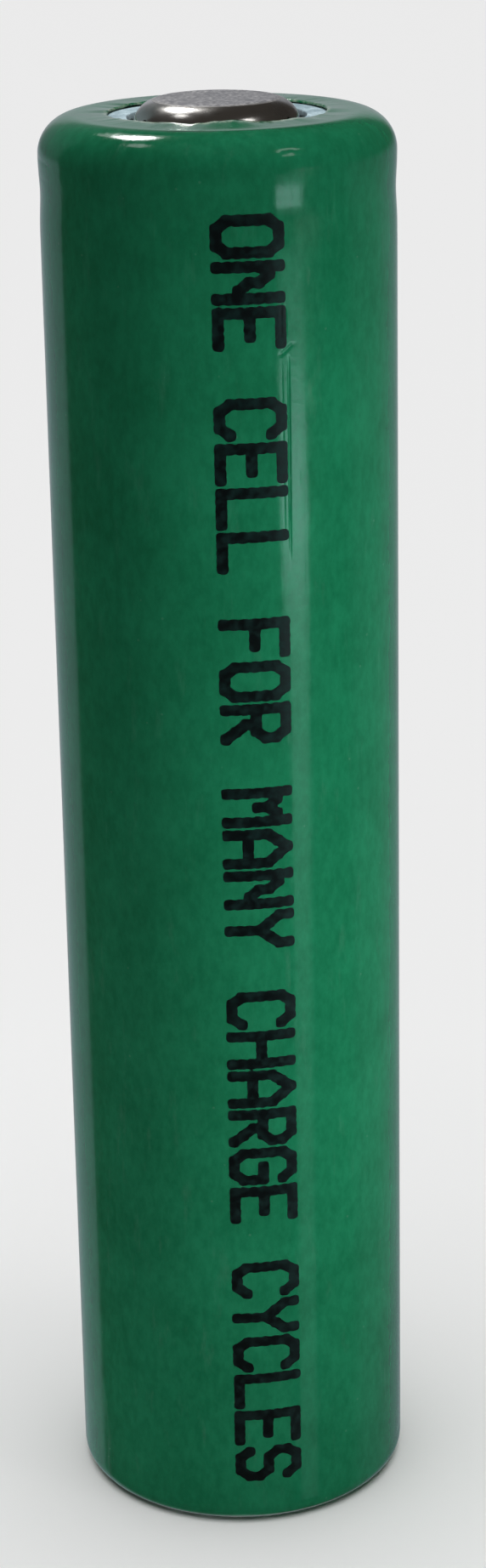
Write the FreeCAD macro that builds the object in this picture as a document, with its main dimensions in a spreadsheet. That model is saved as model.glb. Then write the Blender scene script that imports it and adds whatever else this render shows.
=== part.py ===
"""A sealed nickel metal hydride cell of AAA size, flat top, as its separate pieces.

Millimetres. +Z is up and runs from the negative end to the positive end. The origin is the
centre of the face that the cell stands on. Turned pieces are profiles of (radius, height)
about Z; the electrodes and separators are sheets wound on one spiral.
"""

import FreeCAD, Part
import math
import operator
import os
from types import SimpleNamespace

import Sketcher

DIMENSIONS = {
    "cell_diameter": 10.4,
    "sleeve_length": 43.4,
    "cap_rise": 0.4,  # cap above the sleeve
    # shrink sleeve
    "sleeve_skin": 0.12,
    "top_opening": 3.2,  # radius left open by the fold over the shoulder
    "bottom_opening": 3.75,
    # can
    "can_wall": 0.2,
    "can_floor": 0.25,
    "pad_radius": 3.5,  # contact pad pressed out of the floor
    "shoulder_round": 1.0,
    "heel_round": 0.45,
    "lip_radius": 3.3,  # inner edge of the crimped lip
    "lip_round": 0.06,
    "bead_drop": 2.2,  # middle of the bead, below the sleeve's top
    "bead_depth": 0.5,
    "bead_flat": 0.12,  # half the height of the groove's bottom
    "bead_reach": 0.55,  # half the height of the groove's mouth
    "bead_spread": 0.092,  # how much further each half reaches on the inside
    "bead_round": 0.12,
    # closure
    "washer_skin": 0.2,
    "washer_bore": 2.6,
    "gasket_fold": 0.31,
    "gasket_wall": 0.4,
    "gasket_lip": 3.15,
    "gasket_foot": 0.5,
    "gasket_bore": 3.75,
    "lid_skin": 0.52,
    "vent_bore": 0.5,
    "seat_rim": 0.25,
    "seat_rise": 0.06,
    "cap_skin": 0.25,
    "cap_flange": 3.05,
    "cap_base": 2.52,  # outer radius of the wall at its foot
    "cap_top": 2.44,  # and at its top, before rounding
    "cap_round": 0.85,
    "outlet_radius": 0.22,
    "outlet_rise": 0.29,  # from the flange to the middle of a gas outlet
    "outlets": 3,
    # vent
    "valve_radius": 1.2,
    "valve_skin": 0.15,
    "rubber_radius": 1.1,
    "rubber_round": 0.12,
    # wound sheets
    "core_bore": 0.76,
    "sheet_gap": 0.02,
    "separator_skin": 0.11,
    "positive_skin": 0.6,
    "alloy_skin": 0.13,
    "strip_skin": 0.06,
    "separator_foot": 0.57,
    "separator_head": 39.6,
    "electrode_foot": 1.1,
    "electrode_head": 39.0,
    # insulating discs
    "lower_disc": 4.6,
    "lower_disc_skin": 0.15,
    "upper_disc": 4.8,
    "upper_disc_foot": 39.7,
    "upper_disc_skin": 0.2,
    "filling_hole": 0.8,
    # positive tab
    "tab_width": 2.2,
    "tab_skin": 0.1,
    "tab_near_side": 2.97,  # from the axis to the outside of the lower leg
    "tab_far_side": 3.0,  # and to the outside of the fold under the lid
    "tab_foot": 36.5,
    "tab_shelf": 40.85,
    "tab_weld_end": 0.8,
    "tab_bend": 0.25,
    "slot_room": 0.15,
}

doc = FreeCAD.newDocument("battery_cell")
sheet = doc.addObject("Spreadsheet::Sheet", "dims")
for row, (alias, size) in enumerate(DIMENSIONS.items(), start=1):
    sheet.set(f"A{row}", alias)
    sheet.set(f"B{row}", str(size))
    sheet.setAlias(f"B{row}", alias)
doc.recompute()


class Length:
    """A size, both as a number and as the expression on the sheet that gives it."""

    def __init__(self, number, text):
        self.number = number
        self.text = text

    def __add__(self, other):
        return joined(operator.add, self, "+", other)

    def __sub__(self, other):
        return joined(operator.sub, self, "-", other)

    def __rsub__(self, other):
        return joined(operator.sub, other, "-", self)

    def __mul__(self, other):
        return joined(operator.mul, self, "*", other)

    def __rmul__(self, other):
        return joined(operator.mul, other, "*", self)

    def __truediv__(self, other):
        return joined(operator.truediv, self, "/", other)

    def __neg__(self):
        return 0 - self


def number(size):
    """The number of a size that may be a plain one."""
    return size.number if isinstance(size, Length) else size


def text(size):
    """The expression of a size that may be a plain number."""
    return size.text if isinstance(size, Length) else str(size)


def joined(operation, left, sign, right):
    result = operation(number(left), number(right))
    return Length(result, f"({text(left)} {sign} {text(right)})")


dims = SimpleNamespace(
    **{alias: Length(float(sheet.get(alias)), f"dims.{alias}") for alias in DIMENSIONS}
)

# ---------------------------------------------------------------- places worked out from them
RADIUS = dims.cell_diameter / 2
CAN = RADIUS - dims.sleeve_skin
BORE = CAN - dims.can_wall
FLOOR = dims.sleeve_skin + dims.can_floor
WASHER_TOP = dims.sleeve_length - dims.sleeve_skin
CRIMP_TOP = WASHER_TOP - dims.washer_skin
CRIMP_UNDER = CRIMP_TOP - dims.can_wall
LID_TOP = CRIMP_UNDER - dims.gasket_fold
LID_UNDER = LID_TOP - dims.lid_skin
LID_EDGE = BORE - dims.gasket_wall
FLANGE_TOP = LID_TOP + dims.cap_skin
SEAT_TOP = LID_TOP + dims.seat_rise
VALVE_TOP = SEAT_TOP + dims.valve_skin
CAP_TOP = dims.sleeve_length + dims.cap_rise
CAP_UNDER = CAP_TOP - dims.cap_skin
BEAD = dims.sleeve_length - dims.bead_drop
BEAD_MOUTH_INSIDE = dims.bead_reach + dims.bead_spread
BEAD_FLAT_INSIDE = dims.bead_flat + dims.bead_spread
TAB_INSIDE = dims.tab_skin - dims.tab_near_side

# radius of each layer's inner face on the first half turn
POSITIVE = dims.core_bore + dims.separator_skin + dims.sheet_gap
OUTER_SEPARATOR = POSITIVE + dims.positive_skin + dims.sheet_gap
INNER_ALLOY = OUTER_SEPARATOR + dims.separator_skin + dims.sheet_gap
STRIP = INNER_ALLOY + dims.alloy_skin
OUTER_ALLOY = STRIP + dims.strip_skin
PITCH = OUTER_ALLOY + dims.alloy_skin + dims.sheet_gap - dims.core_bore

# half turns at which the sheets begin and end
CORE_START = 0
ELECTRODE_START = 1
OUTER_ALLOY_END = 4  # the last turn is bare outside, and its strip bears on the can
WINDING_END = 6

CLOSE = 1e-4  # for finding an edge by its place
NOTHING = 1e-6  # a cut that removes less has missed


# ---------------------------------------------------------------- shared building steps
def new_body(label):
    body = doc.addObject("PartDesign::Body", label)
    body.Label = label
    return body


def new_sketch(body, name, plane, height=None):
    """A sketch on one of the body's own planes, raised to a height where one is given."""
    sketch = body.newObject("Sketcher::SketchObject", f"{body.Name}_{name}")
    support = next(f for f in body.Origin.OriginFeatures if f.Role == plane)
    sketch.AttachmentSupport = (support, [""])
    sketch.MapMode = "FlatFace"
    if height is not None:
        sketch.setExpression("AttachmentOffset.Base.z", text(height))
    return sketch


def hold(sketch, kind, size, *where):
    """Adds a constraint of a kind that has a size, bound to the sheet."""
    index = sketch.addConstraint(Sketcher.Constraint(kind, *where, number(size)))
    name = f"{kind}_{index}"
    sketch.renameConstraint(index, name)
    sketch.setExpression(f"Constraints.{name}", text(size))


def tie(sketch, kind, *where):
    """Adds a constraint that has no size."""
    sketch.addConstraint(Sketcher.Constraint(kind, *where))


def place(sketch, edge, point, across, up):
    """Holds a point of an edge at a distance from the sketch's origin each way."""
    for kind, size, axis in (("DistanceX", across, -2), ("DistanceY", up, -1)):
        if isinstance(size, Length):
            hold(sketch, kind, size, -1, 1, edge, point)
        else:
            tie(sketch, "PointOnObject", edge, point, axis)


def outline(sketch, corners):
    """A closed polygon. A corner's place is a Length, or 0 where it is on an axis."""
    points = [FreeCAD.Vector(number(u), number(v), 0) for u, v in corners]
    count = len(points)
    for edge in range(count):
        line = Part.LineSegment(points[edge], points[(edge + 1) % count])
        sketch.addGeometry(line, False)
    for edge in range(count):
        tie(sketch, "Coincident", edge, 2, (edge + 1) % count, 1)
    for edge, (u, v) in enumerate(corners):
        place(sketch, edge, 1, u, v)


def circle(sketch, radius, up=0):
    """A circle on the sketch's vertical axis."""
    middle = FreeCAD.Vector(0, number(up), 0)
    disc = Part.Circle(middle, FreeCAD.Vector(0, 0, 1), number(radius))
    edge = sketch.addGeometry(disc, False)
    place(sketch, edge, 3, 0, up)
    hold(sketch, "Radius", radius, edge)


def turned(label, corners):
    """A body turned about Z from a profile of (radius, height) corners."""
    body = new_body(label)
    sketch = new_sketch(body, "profile", "XZ_Plane")
    outline(sketch, corners)
    turn = body.newObject("PartDesign::Revolution", f"{label}_turn")
    turn.Profile = sketch
    turn.ReferenceAxis = (sketch, ["V_Axis"])
    turn.Angle = 360
    doc.recompute()
    return body


def padded(body, sketch, length, midplane=False):
    pad = body.newObject("PartDesign::Pad", f"{sketch.Name}_pad")
    pad.Profile = sketch
    pad.setExpression("Length", text(length))
    pad.Midplane = midplane
    doc.recompute()


def pocketed(body, sketch, depth):
    """Cuts a sketch into the body, and stops the build if nothing is removed."""
    before = body.Shape.Volume
    cut = body.newObject("PartDesign::Pocket", f"{sketch.Name}_cut")
    cut.Profile = sketch
    cut.setExpression("Length", text(depth))
    doc.recompute()
    if body.Shape.Volume > before - NOTHING:
        raise RuntimeError(f"{sketch.Name} cuts nothing")
    return cut


def is_ring(edge, radius, height):
    """Whether an edge is the circle about Z of that radius and height."""
    curve = edge.Curve
    return (
        isinstance(curve, Part.Circle)
        and math.hypot(curve.Center.x, curve.Center.y) < CLOSE
        and abs(curve.Radius - radius) < CLOSE
        and abs(curve.Center.z - height) < CLOSE
    )


def is_crease(edge, y, z):
    """Whether an edge is the straight one along X at that place."""
    ends = [vertex.Point for vertex in edge.Vertexes]
    return len(ends) == 2 and all(
        abs(end.y - y) < CLOSE and abs(end.z - z) < CLOSE for end in ends
    )


def rounded(body, radius, corners, is_wanted=is_ring):
    """Fillets the edges at the given corners of the body's profile."""
    names = []
    for u, v in corners:
        found = [
            f"Edge{count}"
            for count, edge in enumerate(body.Shape.Edges, start=1)
            if is_wanted(edge, number(u), number(v))
        ]
        if not found:
            raise RuntimeError(f"{body.Label} has no edge at {text(u)}, {text(v)}")
        names += found
    base = body.Tip
    fillet = body.newObject("PartDesign::Fillet", f"{base.Name}_round")
    fillet.Base = (base, names)
    fillet.Radius = number(radius)
    fillet.setExpression("Radius", text(radius))
    doc.recompute()


# ---------------------------------------------------------------- casing
def shrink_sleeve():
    """Heat-shrunk tube, folded over the shoulder and under the heel."""
    top = dims.sleeve_length
    skin = dims.sleeve_skin
    body = turned(
        "shrink_sleeve",
        [
            (dims.bottom_opening, 0),
            (RADIUS, 0),
            (RADIUS, top),
            (dims.top_opening, top),
            (dims.top_opening, WASHER_TOP),
            (CAN, WASHER_TOP),
            (CAN, skin),
            (dims.bottom_opening, skin),
        ],
    )
    rounded(body, dims.shoulder_round + skin, [(RADIUS, top)])
    rounded(body, dims.shoulder_round, [(CAN, WASHER_TOP)])
    rounded(body, dims.heel_round + skin, [(RADIUS, 0)])
    rounded(body, dims.heel_round, [(CAN, skin)])


def steel_can():
    """Deep-drawn can: contact pad, heel, bead rolled in under the lid, crimped lip."""
    step = dims.sleeve_skin
    neck = CAN - dims.bead_depth
    throat = BORE - dims.bead_depth
    pad = [
        (0, 0),
        (dims.pad_radius, 0),
        (dims.pad_radius + step, step),
        (CAN, step),
    ]
    groove = [
        (CAN, BEAD - dims.bead_reach),
        (neck, BEAD - dims.bead_flat),
        (neck, BEAD + dims.bead_flat),
        (CAN, BEAD + dims.bead_reach),
    ]
    lip = [(dims.lip_radius, CRIMP_TOP), (dims.lip_radius, CRIMP_UNDER)]
    ridge = [
        (BORE, BEAD + BEAD_MOUTH_INSIDE),
        (throat, BEAD + BEAD_FLAT_INSIDE),
        (throat, BEAD - BEAD_FLAT_INSIDE),
        (BORE, BEAD - BEAD_MOUTH_INSIDE),
    ]
    floor = [
        (BORE, FLOOR),
        (dims.pad_radius, FLOOR),
        (dims.pad_radius - step, dims.can_floor),
        (0, dims.can_floor),
    ]
    shoulder = (CAN, CRIMP_TOP)
    inner_shoulder = (BORE, CRIMP_UNDER)
    corners = pad + groove + [shoulder] + lip + [inner_shoulder] + ridge + floor
    body = turned("steel_can", corners)
    rounded(body, dims.shoulder_round, [shoulder])
    rounded(body, dims.shoulder_round - dims.can_wall, [inner_shoulder])
    rounded(body, dims.heel_round, [pad[3]])
    rounded(body, dims.heel_round - dims.can_wall, [floor[0]])
    rounded(body, dims.bead_round, groove + ridge[1:3])
    rounded(body, dims.lip_round, lip)


# ---------------------------------------------------------------- closure
def top_washer():
    """Insulating ring between the crimped lip and the sleeve's fold."""
    outer = CAN - dims.shoulder_round
    turned(
        "top_washer",
        [
            (dims.washer_bore, CRIMP_TOP),
            (outer, CRIMP_TOP),
            (outer, WASHER_TOP),
            (dims.washer_bore, WASHER_TOP),
        ],
    )


def sealing_gasket():
    """Nylon ring wrapped round the lid's edge; its foot rests on the bead's slope."""
    slope_top = BEAD + BEAD_MOUTH_INSIDE
    foot = LID_UNDER - dims.gasket_foot
    slope = dims.bead_depth / (dims.bead_reach - dims.bead_flat)
    body = turned(
        "sealing_gasket",
        [
            (dims.gasket_bore, foot),
            (BORE - (slope_top - foot) * slope, foot),
            (BORE, slope_top),
            (BORE, CRIMP_UNDER),
            (dims.gasket_lip, CRIMP_UNDER),
            (dims.gasket_lip, LID_TOP),
            (LID_EDGE, LID_TOP),
            (LID_EDGE, LID_UNDER),
            (dims.gasket_bore, LID_UNDER),
        ],
    )
    rounded(body, dims.shoulder_round - dims.can_wall, [(BORE, CRIMP_UNDER)])


def lid_plate():
    """Steel disc that closes the can, with the vent's bore and raised seat."""
    seat_edge = dims.vent_bore + dims.seat_rim
    turned(
        "lid_plate",
        [
            (dims.vent_bore, LID_UNDER),
            (LID_EDGE, LID_UNDER),
            (LID_EDGE, LID_TOP),
            (seat_edge, LID_TOP),
            (seat_edge, SEAT_TOP),
            (dims.vent_bore, SEAT_TOP),
        ],
    )


def positive_cap():
    """Stamped hat welded to the lid: flange, drafted wall with gas outlets, rounded top."""
    inner_corner = (dims.cap_top - dims.cap_skin, CAP_UNDER)
    body = turned(
        "positive_cap",
        [
            (dims.cap_base - dims.cap_skin, LID_TOP),
            (dims.cap_flange, LID_TOP),
            (dims.cap_flange, FLANGE_TOP),
            (dims.cap_base, FLANGE_TOP),
            (dims.cap_top, CAP_TOP),
            (0, CAP_TOP),
            (0, CAP_UNDER),
            inner_corner,
        ],
    )
    rounded(body, dims.cap_round, [(dims.cap_top, CAP_TOP)])
    rounded(body, dims.cap_round - dims.cap_skin, [inner_corner])
    outlet = new_sketch(body, "outlet", "XZ_Plane")
    circle(outlet, dims.outlet_radius, up=FLANGE_TOP + dims.outlet_rise)
    cut = pocketed(body, outlet, dims.cap_flange)
    ring = body.newObject("PartDesign::PolarPattern", "positive_cap_outlets")
    ring.Originals = [cut]
    ring.Axis = (outlet, ["V_Axis"])
    ring.Angle = 360
    ring.setExpression("Occurrences", text(dims.outlets))
    body.Tip = ring
    doc.recompute()


def vent_disc():
    """Valve disc that shuts the lid's bore and lifts when the pressure is too high."""
    turned(
        "vent_disc",
        [
            (0, SEAT_TOP),
            (dims.valve_radius, SEAT_TOP),
            (dims.valve_radius, VALVE_TOP),
            (0, VALVE_TOP),
        ],
    )


def vent_rubber():
    """Rubber block squeezed under the cap, the spring that holds the disc shut."""
    foot = (dims.rubber_radius, VALVE_TOP)
    head = (dims.rubber_radius, CAP_UNDER)
    body = turned("vent_rubber", [(0, VALVE_TOP), foot, head, (0, CAP_UNDER)])
    rounded(body, dims.rubber_round, [foot, head])


def positive_tab():
    """Nickel ribbon from the positive electrode, folded over to its weld on the lid."""
    near = -dims.tab_near_side
    far = dims.tab_far_side
    far_inside = far - dims.tab_skin
    shelf_top = dims.tab_shelf + dims.tab_skin
    weld_under = LID_UNDER - dims.tab_skin
    body = new_body("positive_tab")
    ribbon = new_sketch(body, "ribbon", "YZ_Plane")
    outline(
        ribbon,
        [
            (near, dims.tab_foot),
            (TAB_INSIDE, dims.tab_foot),
            (TAB_INSIDE, dims.tab_shelf),
            (far, dims.tab_shelf),
            (far, LID_UNDER),
            (dims.tab_weld_end, LID_UNDER),
            (dims.tab_weld_end, weld_under),
            (far_inside, weld_under),
            (far_inside, shelf_top),
            (near, shelf_top),
        ],
    )
    padded(body, ribbon, dims.tab_width, midplane=True)
    inside = [
        (TAB_INSIDE, dims.tab_shelf),
        (far_inside, shelf_top),
        (far_inside, weld_under),
    ]
    outside = [(near, shelf_top), (far, dims.tab_shelf), (far, LID_UNDER)]
    rounded(body, dims.tab_bend, inside, is_crease)
    rounded(body, dims.tab_bend + dims.tab_skin, outside, is_crease)


# ---------------------------------------------------------------- wound sheets
def spiral(sketch, radius, start, end):
    """One face of a sheet, as semicircles that each grow by half a pitch. Lower halves
    are centred on the cell, and upper halves half a pitch to one side, so that they
    join on the X axis. Returns the first and the last semicircle's edge."""
    edges = []
    for half in range(start, end):
        upper = half % 2 == 0
        middle = -PITCH / 2 if upper else 0
        size = radius + half * PITCH / 2
        whole = Part.Circle(
            FreeCAD.Vector(number(middle), 0, 0), FreeCAD.Vector(0, 0, 1), number(size)
        )
        begin = 0 if upper else math.pi
        arc = Part.ArcOfCircle(whole, begin, begin + math.pi)
        edge = sketch.addGeometry(arc, False)
        place(sketch, edge, 3, middle, 0)
        hold(sketch, "Radius", size, edge)
        tie(sketch, "PointOnObject", edge, 1, -1)
        tie(sketch, "PointOnObject", edge, 2, -1)
        edges.append(edge)
    return edges[0], edges[-1]


def wound_sheet(label, inner_face, skin, start, end, foot, head):
    """A sheet of constant thickness on the spiral, from one height to another."""
    body = new_body(label)
    sketch = new_sketch(body, "spiral", "XY_Plane", foot)
    inner = spiral(sketch, inner_face, start, end)
    outer = spiral(sketch, inner_face + skin, start, end)
    for edges, point in (((inner[0], outer[0]), 1), ((inner[1], outer[1]), 2)):
        ends = [sketch.getPoint(edge, point) for edge in edges]
        across = sketch.addGeometry(Part.LineSegment(*ends), False)
        tie(sketch, "Coincident", across, 1, edges[0], point)
        tie(sketch, "Coincident", across, 2, edges[1], point)
    padded(body, sketch, head - foot)
    return body


def separators():
    """The two sheets that keep the electrodes apart, taller than both."""
    for label, inner_face in (
        ("inner_separator", dims.core_bore),
        ("outer_separator", OUTER_SEPARATOR),
    ):
        wound_sheet(
            label,
            inner_face,
            dims.separator_skin,
            CORE_START,
            WINDING_END,
            dims.separator_foot,
            dims.separator_head,
        )


def negative_electrode():
    """A strip coated with alloy on both sides, but bare outside on its last turn."""
    for label, inner_face, skin, end in (
        ("negative_alloy_inner", INNER_ALLOY, dims.alloy_skin, WINDING_END),
        ("negative_core_strip", STRIP, dims.strip_skin, WINDING_END),
        ("negative_alloy_outer", OUTER_ALLOY, dims.alloy_skin, OUTER_ALLOY_END),
    ):
        wound_sheet(
            label,
            inner_face,
            skin,
            ELECTRODE_START,
            end,
            dims.electrode_foot,
            dims.electrode_head,
        )


def positive_electrode():
    """Filled nickel foam, pressed in where the tab is welded to its inside."""
    body = wound_sheet(
        "positive_electrode",
        POSITIVE,
        dims.positive_skin,
        ELECTRODE_START,
        WINDING_END,
        dims.electrode_foot,
        dims.electrode_head,
    )
    press = new_sketch(body, "press", "XY_Plane", dims.electrode_head)
    side = dims.tab_width / 2
    near = -dims.tab_near_side
    outline(
        press, [(-side, near), (side, near), (side, TAB_INSIDE), (-side, TAB_INSIDE)]
    )
    pocketed(body, press, dims.electrode_head - dims.tab_foot)


# ---------------------------------------------------------------- insulating discs
def lower_insulator():
    """Plastic disc between the can's floor and the wound sheets."""
    body = new_body("lower_insulator")
    disc = new_sketch(body, "disc", "XY_Plane", FLOOR)
    circle(disc, dims.lower_disc)
    padded(body, disc, dims.lower_disc_skin)


def upper_insulator():
    """Plastic disc over the wound sheets, with a filling hole and the tab's slot."""
    body = new_body("upper_insulator")
    disc = new_sketch(body, "disc", "XY_Plane", dims.upper_disc_foot)
    circle(disc, dims.upper_disc)
    circle(disc, dims.filling_hole)
    padded(body, disc, dims.upper_disc_skin)
    top = dims.upper_disc_foot + dims.upper_disc_skin
    slot = new_sketch(body, "slot", "XY_Plane", top)
    side = dims.tab_width / 2 + dims.slot_room
    near = -dims.tab_near_side - dims.slot_room
    inner = TAB_INSIDE + dims.slot_room
    outline(slot, [(-side, near), (side, near), (side, inner), (-side, inner)])
    pocketed(body, slot, dims.upper_disc_skin)


# ---------------------------------------------------------------- build, check and write
def check():
    """Stops the build on a failed object or a shape that isn't one valid solid."""
    for item in doc.Objects:
        if "Invalid" in item.State or "Error" in item.State:
            raise RuntimeError(f"{item.Label} failed: {item.State}")
    for body in doc.findObjects("PartDesign::Body"):
        shape = body.Shape
        if shape.isNull() or not shape.isValid() or len(shape.Solids) != 1:
            raise RuntimeError(f"{body.Label} is not one valid solid")


def write():
    """Writes one STEP file for each piece."""
    os.makedirs("parts", exist_ok=True)
    for body in doc.findObjects("PartDesign::Body"):
        body.Shape.exportStep(f"parts/{body.Label}.step")
        print(f"{body.Label}: {body.Shape.Volume:.3f} mm3")


shrink_sleeve()
steel_can()
top_washer()
sealing_gasket()
lid_plate()
positive_cap()
vent_disc()
vent_rubber()
positive_tab()
separators()
negative_electrode()
positive_electrode()
lower_insulator()
upper_insulator()
doc.recompute()
check()
write()
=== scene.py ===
"""Looks of the cell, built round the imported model. Lengths are in metres, small ones as
millimetres times MM. Azimuths go from the front (-Y) towards +X."""

import math

import bpy
import numpy as np
from mathutils import Matrix, Vector, noise


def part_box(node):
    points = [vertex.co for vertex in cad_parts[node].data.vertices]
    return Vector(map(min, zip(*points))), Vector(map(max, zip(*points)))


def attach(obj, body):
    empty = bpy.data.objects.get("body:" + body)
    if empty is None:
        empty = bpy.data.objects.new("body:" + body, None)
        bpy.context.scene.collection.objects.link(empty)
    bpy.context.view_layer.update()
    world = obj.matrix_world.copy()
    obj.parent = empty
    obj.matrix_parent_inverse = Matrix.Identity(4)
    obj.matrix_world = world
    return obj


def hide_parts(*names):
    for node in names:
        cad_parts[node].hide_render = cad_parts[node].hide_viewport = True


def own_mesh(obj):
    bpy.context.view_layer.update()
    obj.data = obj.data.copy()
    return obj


MM = 0.001
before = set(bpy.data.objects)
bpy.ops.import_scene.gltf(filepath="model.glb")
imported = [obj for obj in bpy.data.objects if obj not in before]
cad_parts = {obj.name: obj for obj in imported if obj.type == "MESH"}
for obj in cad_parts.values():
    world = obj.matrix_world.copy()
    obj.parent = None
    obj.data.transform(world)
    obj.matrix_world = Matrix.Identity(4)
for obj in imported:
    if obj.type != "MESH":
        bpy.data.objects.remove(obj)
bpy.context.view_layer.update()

# ---------------------------------------------------------------- sizes from the frame
sleeve_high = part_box("shrink_sleeve")[1]
cap_low, cap_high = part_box("positive_cap")
washer_low, washer_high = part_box("top_washer")
rubber_low, rubber_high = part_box("vent_rubber")

RADIUS = sleeve_high.x
TOP = sleeve_high.z
CAP_TOP = cap_high.z
FILM = TOP - washer_high.z  # thickness of the sleeve, which lies on the washer
BORE = RADIUS - FILM
OPENING = 3.2 * MM  # radius of the hole in the top fold
BOTTOM_OPENING = 3.75 * MM
SHOULDER = 1.12 * MM  # radius of the rounding at the top
HEEL = 0.57 * MM  # radius of the rounding at the bottom
STRAIGHT_TOP = TOP - SHOULDER
BEAD = TOP - 2.2 * MM  # height of the waist


# ---------------------------------------------------------------- mesh helpers
SHARP = math.radians(35)


def new_object(name, vertices, faces):
    """A smooth-shaded mesh object, with edges sharper than SHARP left sharp."""
    mesh = bpy.data.meshes.new(name)
    mesh.from_pydata([tuple(v) for v in vertices], [], [tuple(f) for f in faces])
    mesh.validate()
    mesh.shade_smooth()
    mesh.set_sharp_from_angle(angle=SHARP)
    piece = bpy.data.objects.new(name, mesh)
    bpy.context.scene.collection.objects.link(piece)
    return piece


def arc(centre, radius, start, end, count):
    """Points of (radius, height) on an arc, by angle in degrees from outwards to up."""
    angles = np.radians(np.linspace(start, end, count))
    return [
        (centre[0] + radius * math.cos(a), centre[1] + radius * math.sin(a))
        for a in angles
    ]


def line(start, end, count):
    """Points along a line, without its last one."""
    start = np.array(start)
    run = np.array(end) - start
    return [tuple(start + run * k / count) for k in range(count)]


def full_turn(count, *fine):
    """Azimuths in radians round a full turn, with finer steps in some stretches, each
    given as (start, end, step) in degrees."""
    degrees = [np.arange(count) * 360 / count]
    for start, end, step in fine:
        degrees.append(np.arange(start, end, step))
    together = np.unique(np.round(np.concatenate(degrees) % 360, 3))
    return np.radians(together)


def lathe(name, profile, azimuths, shape=None, closed=True):
    """Turns (radius, height) points about Z, back to the first one where closed. shape may
    move a point: it takes azimuth in radians, radius, height and place in the profile, and
    returns radius and height."""
    segments = len(azimuths)
    vertices = []
    rings = []
    for place, (radius, height) in enumerate(profile):
        if radius == 0:
            rings.append([len(vertices)] * segments)
            vertices.append((0, 0, height))
            continue
        first = len(vertices)
        for azimuth in azimuths:
            r, z = shape(azimuth, radius, height, place) if shape else (radius, height)
            vertices.append((r * math.sin(azimuth), -r * math.cos(azimuth), z))
        rings.append(range(first, first + segments))
    faces = []
    for low, high in zip(rings, rings[1:] + rings[: int(closed)]):
        for step in range(segments):
            after = (step + 1) % segments
            corners = dict.fromkeys((low[step], low[after], high[after], high[step]))
            if len(corners) > 2:
                faces.append(tuple(corners))
    return new_object(name, vertices, faces)


def ripple(azimuth, height, turns, length, seed):
    """Smooth noise between about -1 and 1 on the barrel: turns sets how many waves go
    round it, and length is the size of a wave along it."""
    return noise.noise(
        Vector((turns * math.sin(azimuth), turns * math.cos(azimuth), height / length + seed))
    )


def bump_at(distance, width):
    """1 at no distance, falling smoothly to nearly 0 at twice the width."""
    return math.exp(-((distance / width) ** 2))


def angle_between(azimuth, degrees):
    """Signed difference from an azimuth in degrees, in radians."""
    return (azimuth - math.radians(degrees) + math.pi) % (2 * math.pi) - math.pi


def ramp(value, start, end):
    """0 at start, 1 at end, smooth between and held beyond. Start may be the higher."""
    share = min(max((value - start) / (end - start), 0), 1)
    return share * share * (3 - 2 * share)


# ---------------------------------------------------------------- shrink sleeve
WAIST_DEPTH = 0.04  # mm
WAIST_WIDTH = 0.6 * MM
# radii where the folds begin and where they have their full shape
TOP_FOLD = 4.1 * MM
TOP_FOLD_FULL = 3.3 * MM
BOTTOM_FOLD = 4.8 * MM
BOTTOM_FOLD_FULL = 3.8 * MM
# creases in the film: azimuth and height where each starts, the same where it ends, width
# and depth, in degrees and mm
CREASES = [
    (20, 42.8, 25, 42.83, 0.05, 0.016),
    (25, 42.78, 28, 42.8, 0.04, 0.012),
    (34, 42.87, 37, 42.88, 0.05, 0.01),
    (41, 42.84, 43, 42.85, 0.05, 0.01),
    (-88, 42.3, -66, 42.2, 0.06, 0.016),
    (-80, 41.72, -70, 41.75, 0.05, 0.01),
    (-84, 39.3, -74, 39.34, 0.05, 0.01),
    (-58, 42.0, -46, 42.06, 0.06, 0.006),
    (21.2, 37.2, 21.0, 31.4, 0.03, 0.018),
    (19.0, 38.7, 18.8, 37.7, 0.028, 0.01),
    (20.4, 38.6, 20.6, 37.8, 0.024, 0.01),
    (18.9, 37.1, 19.2, 31.9, 0.026, 0.004),
    (18.4, 37.25, 22.6, 37.55, 0.03, 0.018),
    (110, 41.9, 128, 41.96, 0.07, 0.012),
    (160, 42.4, 176, 42.36, 0.07, 0.012),
    (-150, 42.1, -132, 42.15, 0.07, 0.012),
    (72, 0.9, 90, 0.94, 0.06, 0.01),
    (-170, 0.85, -150, 0.9, 0.06, 0.01),
    (140, 22.0, 140.4, 27.5, 0.05, 0.01),
    (-120, 12.0, -119.5, 15.0, 0.05, 0.008),
]


def crease_depth(azimuth, height):
    """Depth in mm of the creases at a point of the barrel, shallower towards their ends."""
    total = 0
    for from_azimuth, from_height, to_azimuth, to_height, width, depth in CREASES:
        run = math.radians(to_azimuth - from_azimuth) * RADIUS / MM
        rise = to_height - from_height
        along = angle_between(azimuth, from_azimuth) * RADIUS / MM
        up = height / MM - from_height
        length2 = run * run + rise * rise
        share = (along * run + up * rise) / length2
        nearest = min(max(share, 0), 1)
        away = math.hypot(along - nearest * run, up - nearest * rise)
        if away < 3 * width:
            fade = min(1, 0.25 + 5 * min(nearest, 1 - nearest))
            total += depth * fade * bump_at(away, width)
    return total


def barrel_inset(azimuth, height):
    """How far the film lies inside the full radius, on the barrel and the shoulder."""
    waist = WAIST_DEPTH * bump_at(height - BEAD, WAIST_WIDTH)
    slack = 0.006 + 0.004 * ripple(azimuth, height, 1.2, 9 * MM, 3.1)
    grain = 0.0008 * ripple(azimuth, height, 7, 1.1 * MM, 8.4)
    return max(waist + slack + grain + crease_depth(azimuth, height), 0) * MM


def barrel_radius(azimuth, height):
    return RADIUS - barrel_inset(azimuth, height)


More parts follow.
